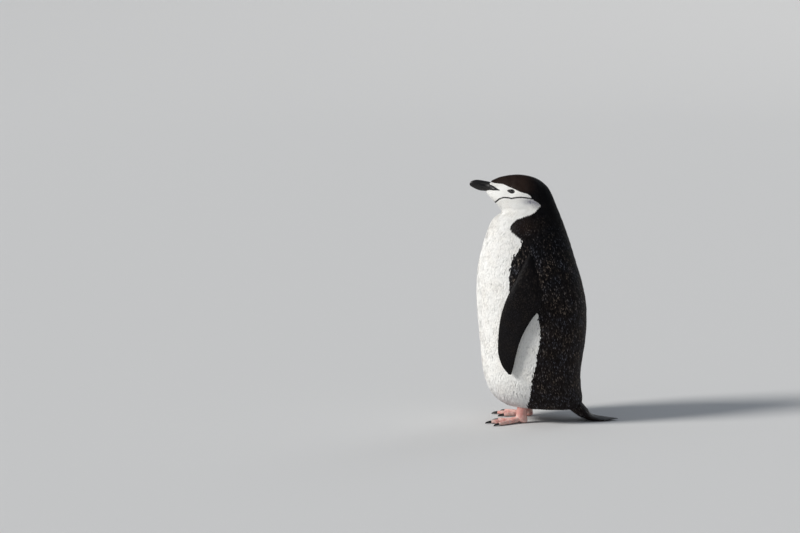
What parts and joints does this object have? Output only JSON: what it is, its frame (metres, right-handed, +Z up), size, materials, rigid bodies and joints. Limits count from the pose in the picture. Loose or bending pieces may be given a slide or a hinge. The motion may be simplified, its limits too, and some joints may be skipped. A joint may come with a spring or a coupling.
{
  "type": "penguin",
  "caption": "Life-size chinstrap penguin standing still on flat feet and tail, black back and cap, white front, thin dark line under the chin.",
  "frame": {"origin": "middle of the model's outer box in plan, at floor level, with the soles of the feet and the underside of the tail tip on z = 0", "axes": "+Z up through the crown; -Y the way the bird faces, from tail to bill; +X the bird's left side"},
  "size_m": [0.224, 0.3301, 0.5427],
  "materials": {
    "black_feathers": "soft satin",
    "white_feathers": "matte",
    "bill_horn": "semi-gloss",
    "foot_skin": "satin",
    "claw_horn": "satin",
    "eye": "gloss"
  },
  "bodies": {
    "root": {"trunk": "white_feathers", "neck": "black_feathers", "head": "black_feathers", "tail": "black_feathers", "flipper_left": "black_feathers", "flipper_right": "black_feathers", "bill_upper": "bill_horn", "bill_lower": "bill_horn", "eye_left": "eye", "eye_right": "eye", "leg_left": "foot_skin", "leg_right": "foot_skin", "foot_left": "foot_skin", "foot_right": "foot_skin", "claw_left_inner": "claw_horn", "claw_left_middle": "claw_horn", "claw_left_outer": "claw_horn", "claw_left_hind": "claw_horn", "claw_right_inner": "claw_horn", "claw_right_middle": "claw_horn", "claw_right_outer": "claw_horn", "claw_right_hind": "claw_horn"}
  },
  "joints": []
}
